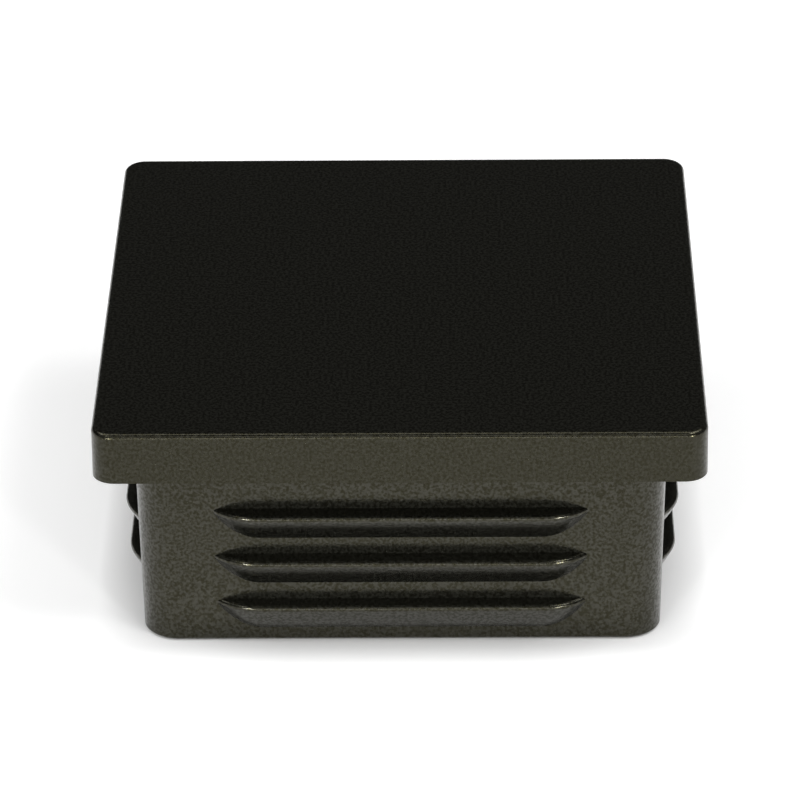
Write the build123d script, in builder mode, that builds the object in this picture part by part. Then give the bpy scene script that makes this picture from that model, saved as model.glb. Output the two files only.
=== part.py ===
# Square end cap for a 40 x 40 mm box-section tube, moulded in one piece. Millimetres.
# Z = 0 is the seat, the underside of the head that bears on the tube's end. The head is above it,
# and the hollow ribbed skirt hangs below it, open at the rim.

from build123d import *

import os
from math import cos, radians, sin, tan

os.makedirs("parts", exist_ok=True)

# Head: the flat plate that covers the end of the tube
head_width = 40.0
head_thickness = 3.6
head_corner_radius = 1.5
head_edge_radius = 0.4
head_draft = 0.5

# Skirt: the plug that goes into the tube, measured at the seat
skirt_width = 35.0
skirt_length = 13.7
skirt_corner_radius = 2.6
skirt_draft = 1.0
lead_in = 0.2

# Hollow: open at the rim, with its floor a little above the seat
rim_wall = 1.5
hollow_depth = 14.9
hollow_corner_radius = 1.3
hollow_floor_radius = 0.8
core_draft = 1.0

# Snap ribs: three to a wall, flat on top, round-nosed, with a slightly full flank below.
# Their ends run out into the wall along the arc of a disc cutter.
wall_count = 4
rib_levels = (-3.40, -6.88, -10.40)
rib_reaches = (1.23, 1.23, 1.13)
rib_straight = 18.5
rib_cutter_radius = 4.4
rib_nose_radius = 0.27
rib_nose_sweep = 26.0
rib_flank_height = 2.32
rib_root_overlap = 0.08

# Gate mark: the trimmed stub of the sprue, in the middle of the floor of the hollow
gate_radius = 0.9
gate_height = 0.35


def snap_rib(reach):
    """Rib body with its flat top on Z = 0, straight along Y and rounded at both ends."""
    sweep = radians(rib_nose_sweep)
    nose_centre = Vector(rib_cutter_radius - rib_nose_radius, -rib_nose_radius)
    nose_end = nose_centre + Vector(cos(sweep), -sin(sweep)) * rib_nose_radius
    root = Vector(rib_cutter_radius - reach - rib_root_overlap, -rib_flank_height)
    with BuildSketch(Plane.XZ) as section:
        with BuildLine():
            Line((0, 0), (nose_centre.X, 0))
            CenterArc(nose_centre, rib_nose_radius, 90, -90 - rib_nose_sweep)
            TangentArc(nose_end, root, tangent=(-sin(sweep), -cos(sweep)))
            Polyline(root, (0, -rib_flank_height), (0, 0))
        make_face()
    with BuildPart() as end:
        revolve(section.sketch, axis=Axis.Z)
    with BuildPart() as rib:
        extrude(section.sketch, amount=rib_straight / 2, both=True)
        with Locations((0, rib_straight / 2), (0, -rib_straight / 2)):
            add(end)
    return rib.part


ribs = [snap_rib(reach) for reach in rib_reaches]

skirt_width_at_rim = skirt_width - 2 * skirt_length * tan(radians(skirt_draft))
hollow_width = skirt_width_at_rim - 2 * rim_wall
with BuildPart() as hollow:
    with BuildSketch(Plane.XY.offset(-skirt_length)):
        RectangleRounded(hollow_width, hollow_width, hollow_corner_radius)
    extrude(amount=hollow_depth, taper=core_draft)
    fillet(hollow.faces().sort_by(Axis.Z)[-1].edges(), hollow_floor_radius)

with BuildPart() as end_cap:
    with BuildSketch():
        RectangleRounded(head_width, head_width, head_corner_radius)
    extrude(amount=head_thickness, taper=head_draft)
    fillet(end_cap.faces().sort_by(Axis.Z)[-1].edges(), head_edge_radius)

    with BuildSketch():
        RectangleRounded(skirt_width, skirt_width, skirt_corner_radius)
    extrude(amount=-skirt_length, taper=skirt_draft)
    chamfer(end_cap.faces().sort_by(Axis.Z)[0].edges(), lead_in)

    for rib, level, reach in zip(ribs, rib_levels, rib_reaches):
        wall = skirt_width / 2 + level * tan(radians(skirt_draft))
        with Locations((0, 0, level)):
            with PolarLocations(wall + reach - rib_cutter_radius, wall_count):
                add(rib)

    add(hollow, mode=Mode.SUBTRACT)

    with BuildSketch(Plane.XY.offset(hollow_depth - skirt_length)):
        Circle(gate_radius)
    extrude(amount=-gate_height)

end_cap.part.label = "end_cap"
export_step(end_cap.part, "parts/end_cap.step")
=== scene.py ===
from math import pi, radians

import bmesh
import bpy
from mathutils import Matrix, Vector


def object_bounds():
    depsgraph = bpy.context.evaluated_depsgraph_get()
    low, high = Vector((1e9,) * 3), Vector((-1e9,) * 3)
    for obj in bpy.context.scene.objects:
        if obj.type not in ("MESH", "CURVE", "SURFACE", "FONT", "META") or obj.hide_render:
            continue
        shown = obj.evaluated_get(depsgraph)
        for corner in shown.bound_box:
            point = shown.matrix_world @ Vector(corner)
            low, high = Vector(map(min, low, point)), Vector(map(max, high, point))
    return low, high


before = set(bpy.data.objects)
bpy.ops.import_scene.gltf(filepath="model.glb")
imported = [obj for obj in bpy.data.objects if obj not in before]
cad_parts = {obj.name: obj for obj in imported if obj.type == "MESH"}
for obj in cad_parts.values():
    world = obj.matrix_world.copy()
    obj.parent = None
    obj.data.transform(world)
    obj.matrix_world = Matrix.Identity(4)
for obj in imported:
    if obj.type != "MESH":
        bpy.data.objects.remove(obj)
cad_low, cad_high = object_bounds()

# Square end cap for box-section tube. Metres. Z = 0 is the seat under the head, as in the CAD.

MM = 0.001

# Black polyethylene: fine grain in the colour and in the sheen, and a head a little duller than the skirt
plastic_dark = (0.0025, 0.0024, 0.0018)
plastic_light = (0.0095, 0.0096, 0.0078)
plastic_tint = (1.0, 0.93, 0.56)
plastic_ior = 1.37
plastic_roughness = 0.21
skirt_sheen = 0.52
head_sheen = 0.24
seat_level = 0.0
bump_height = 0.004 * MM
bump_strength = 0.8

# Grain: noise spread out about its middle value. Each seed gives a pattern of its own
grain_size = 0.20 * MM
grain_detail = 1.0
grain_middle = 0.5
grain_contrast = 6.0
colour_seed = 0.0
sheen_seed = 10.0

# Floor: matt white, with a glow that fades close to the part as a painted contact shadow
floor_size = 3.0
floor_colour = (0.86, 0.86, 0.86)
floor_fill = 0.44
shade_reach = 3.5 * MM
shade_samples = 16

# Room and lamps
surround_level = 0.060
lamp_distance = 0.80

# Lamps: name, bearing from the front and elevation in degrees, width and height in metres, radiance.
# The two low ones are small and bright, for the glints at the ends of the ribs
lamps = (
    ("key_right", 48, 57, 0.15, 0.15, 20.0),
    ("key_left", -40, 46, 0.15, 0.15, 6.5),
    ("low_right", 31, 6, 0.08, 0.08, 180.0),
    ("low_left", -24, 6, 0.08, 0.08, 180.0),
    ("front_high", 0, 40, 0.50, 0.20, 1.5),
    ("front_low", 0, 8, 0.40, 0.08, 8.0),
    ("overhead", 0, 86, 1.60, 0.16, 3.5),
    ("side_right", 90, 55, 0.40, 0.25, 2.8),
    ("side_left", -90, 50, 0.40, 0.25, 2.5),
)

# Camera: a long lens. Angles in degrees, for a square frame 800 pixels wide
frame_width_px = 800
focal_length_px = 4767.0
sensor_width_mm = 36.0
camera_place = Vector((3.94, -286.46, 155.63)) * MM
camera_pitch = 29.29
camera_yaw = 0.83
camera_roll = -0.65
nearest_seen = 0.01
furthest_seen = 10.0


class Socket:
    """An output of a shader tree. Arithmetic on it adds Math nodes."""

    def __init__(self, tree, output=None):
        self.tree = tree
        self.output = output

    def node(self, kind, settings=None, inputs=None, output=0):
        """Adds a node, sets it up, fills its inputs by name or number, and returns one output."""
        made = self.tree.nodes.new(kind)
        for name, value in (settings or {}).items():
            setattr(made, name, value)
        for name, value in (inputs or {}).items():
            if isinstance(value, Socket):
                self.tree.links.new(value.output, made.inputs[name])
            else:
                made.inputs[name].default_value = value
        return Socket(self.tree, made.outputs[output] if made.outputs else None)

    def math(self, operation, first, second):
        return self.node("ShaderNodeMath", {"operation": operation}, {0: first, 1: second})

    def __add__(self, other):
        return self.math("ADD", self, other)

    def __sub__(self, other):
        return self.math("SUBTRACT", self, other)

    def __rsub__(self, other):
        return self.math("SUBTRACT", other, self)

    def __mul__(self, other):
        return self.math("MULTIPLY", self, other)

    __radd__ = __add__
    __rmul__ = __mul__


def empty_tree(owner):
    """The owner's shader tree, cleared, as a Socket to build from."""
    owner.use_nodes = True
    owner.node_tree.nodes.clear()
    return Socket(owner.node_tree)


def speckle(tree, place, seed):
    """Fine noise from 0 to 1 with its contrast raised."""
    noise = tree.node(
        "ShaderNodeTexNoise",
        {"noise_dimensions": "4D"},
        {"Vector": place, "W": seed, "Scale": 1 / grain_size, "Detail": grain_detail},
    )
    spread = (noise - grain_middle) * grain_contrast + grain_middle
    return tree.node("ShaderNodeClamp", None, {"Value": spread})


def black_polyethylene():
    """Moulded plastic under a broken clear sheen, which is weaker above the seat, on the head."""
    material = bpy.data.materials.new("black_polyethylene")
    tree = empty_tree(material)
    place = tree.node("ShaderNodeTexCoord", output="Object")
    grain = speckle(tree, place, colour_seed)
    sheen = speckle(tree, place, sheen_seed)
    level = tree.node("ShaderNodeSeparateXYZ", None, {"Vector": place}, output="Z")
    on_head = tree.math("GREATER_THAN", level, seat_level)
    colour = tree.node(
        "ShaderNodeMix",
        {"data_type": "RGBA"},
        {"Factor": grain, "A": (*plastic_dark, 1), "B": (*plastic_light, 1)},
        output="Result",
    )
    bump = tree.node(
        "ShaderNodeBump",
        None,
        {"Strength": bump_strength, "Distance": bump_height, "Height": sheen},
    )
    shader = tree.node(
        "ShaderNodeBsdfPrincipled",
        None,
        {
            "Base Color": colour,
            "Roughness": plastic_roughness,
            "IOR": plastic_ior,
            "Specular Tint": (*plastic_tint, 1),
            "Coat Weight": (skirt_sheen + (head_sheen - skirt_sheen) * on_head) * sheen,
            "Coat Roughness": plastic_roughness,
            "Normal": bump,
        },
    )
    tree.node("ShaderNodeOutputMaterial", None, {"Surface": shader})
    return material


def white_floor():
    """Matt white paint, with a glow that shows directly, in reflections and through glass only, and that
    fades close to the part as a painted contact shadow.
    """
    material = bpy.data.materials.new("white_floor")
    tree = empty_tree(material)
    seen = tree.node("ShaderNodeLightPath", output="Is Camera Ray")
    mirrored = tree.node("ShaderNodeLightPath", output="Is Glossy Ray")
    through = tree.node("ShaderNodeLightPath", output="Is Transmission Ray")
    paint = tree.node("ShaderNodeBsdfDiffuse", None, {"Color": (*floor_colour, 1)})
    # Painted contact shadow: the glow is dimmed by the square of the ambient occlusion within shade_reach
    # of the part
    open_to_room = tree.node(
        "ShaderNodeAmbientOcclusion",
        {"samples": shade_samples},
        {"Distance": shade_reach},
        output="AO",
    )
    glow = tree.node(
        "ShaderNodeEmission",
        None,
        {"Color": open_to_room * open_to_room, "Strength": floor_fill * (seen + mirrored + through)},
    )
    both = tree.node("ShaderNodeAddShader", None, {0: paint, 1: glow})
    tree.node("ShaderNodeOutputMaterial", None, {"Surface": both})
    return material


def level_sheet(name, size, place, material):
    """A square sheet facing up."""
    bm = bmesh.new()
    bmesh.ops.create_grid(bm, x_segments=1, y_segments=1, size=size / 2)
    bmesh.ops.translate(bm, verts=bm.verts, vec=place)
    mesh = bpy.data.meshes.new(name)
    bm.to_mesh(mesh)
    bm.free()
    mesh.materials.append(material)
    sheet = bpy.data.objects.new(name, mesh)
    bpy.context.scene.collection.objects.link(sheet)
    return sheet


def hang_lamp(name, bearing, elevation, width, height, radiance, target):
    """A rectangular lamp at the studio's radius, aimed at the part. Its power is pi x area x radiance."""
    lamp = bpy.data.lights.new(name, "AREA")
    lamp.shape = "RECTANGLE"
    lamp.size = width
    lamp.size_y = height
    lamp.energy = pi * width * height * radiance
    turn = Matrix.Rotation(radians(bearing), 3, "Z")
    tip = Matrix.Rotation(radians(-elevation), 3, "X")
    offset = turn @ tip @ Vector((0, -lamp_distance, 0))
    aim = (-offset).to_track_quat("-Z", "Y")
    holder = bpy.data.objects.new(name, lamp)
    holder.matrix_world = Matrix.Translation(target + offset) @ aim.to_matrix().to_4x4()
    bpy.context.scene.collection.objects.link(holder)


def surroundings():
    """A dim studio, shown white to the camera."""
    world = bpy.data.worlds.new("studio")
    bpy.context.scene.world = world
    tree = empty_tree(world)
    seen = tree.node("ShaderNodeLightPath", output="Is Camera Ray")
    level = surround_level + (1 - surround_level) * seen
    room = tree.node("ShaderNodeBackground", None, {"Strength": level})
    tree.node("ShaderNodeOutputWorld", None, {"Surface": room})


def camera():
    """Long lens on the front, looking down on the head."""
    eye = bpy.data.cameras.new("camera")
    eye.sensor_width = sensor_width_mm
    eye.lens = focal_length_px / frame_width_px * sensor_width_mm
    eye.clip_start = nearest_seen
    eye.clip_end = furthest_seen
    holder = bpy.data.objects.new("camera", eye)
    turn = Matrix.Rotation(radians(camera_yaw), 4, "Z")
    tip = Matrix.Rotation(radians(90 - camera_pitch), 4, "X")
    roll = Matrix.Rotation(radians(camera_roll), 4, "Z")
    holder.matrix_world = Matrix.Translation(camera_place) @ turn @ tip @ roll
    bpy.context.scene.collection.objects.link(holder)
    bpy.context.scene.camera = holder


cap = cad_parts["end_cap"]
cap.material_slots[0].material = black_polyethylene()

floor = level_sheet("floor", floor_size, Vector((0, 0, cad_low.z)), white_floor())

centre = (cad_low + cad_high) / 2
for lamp in lamps:
    hang_lamp(*lamp, centre)
surroundings()
camera()

bpy.context.scene.view_settings.view_transform = "Standard"
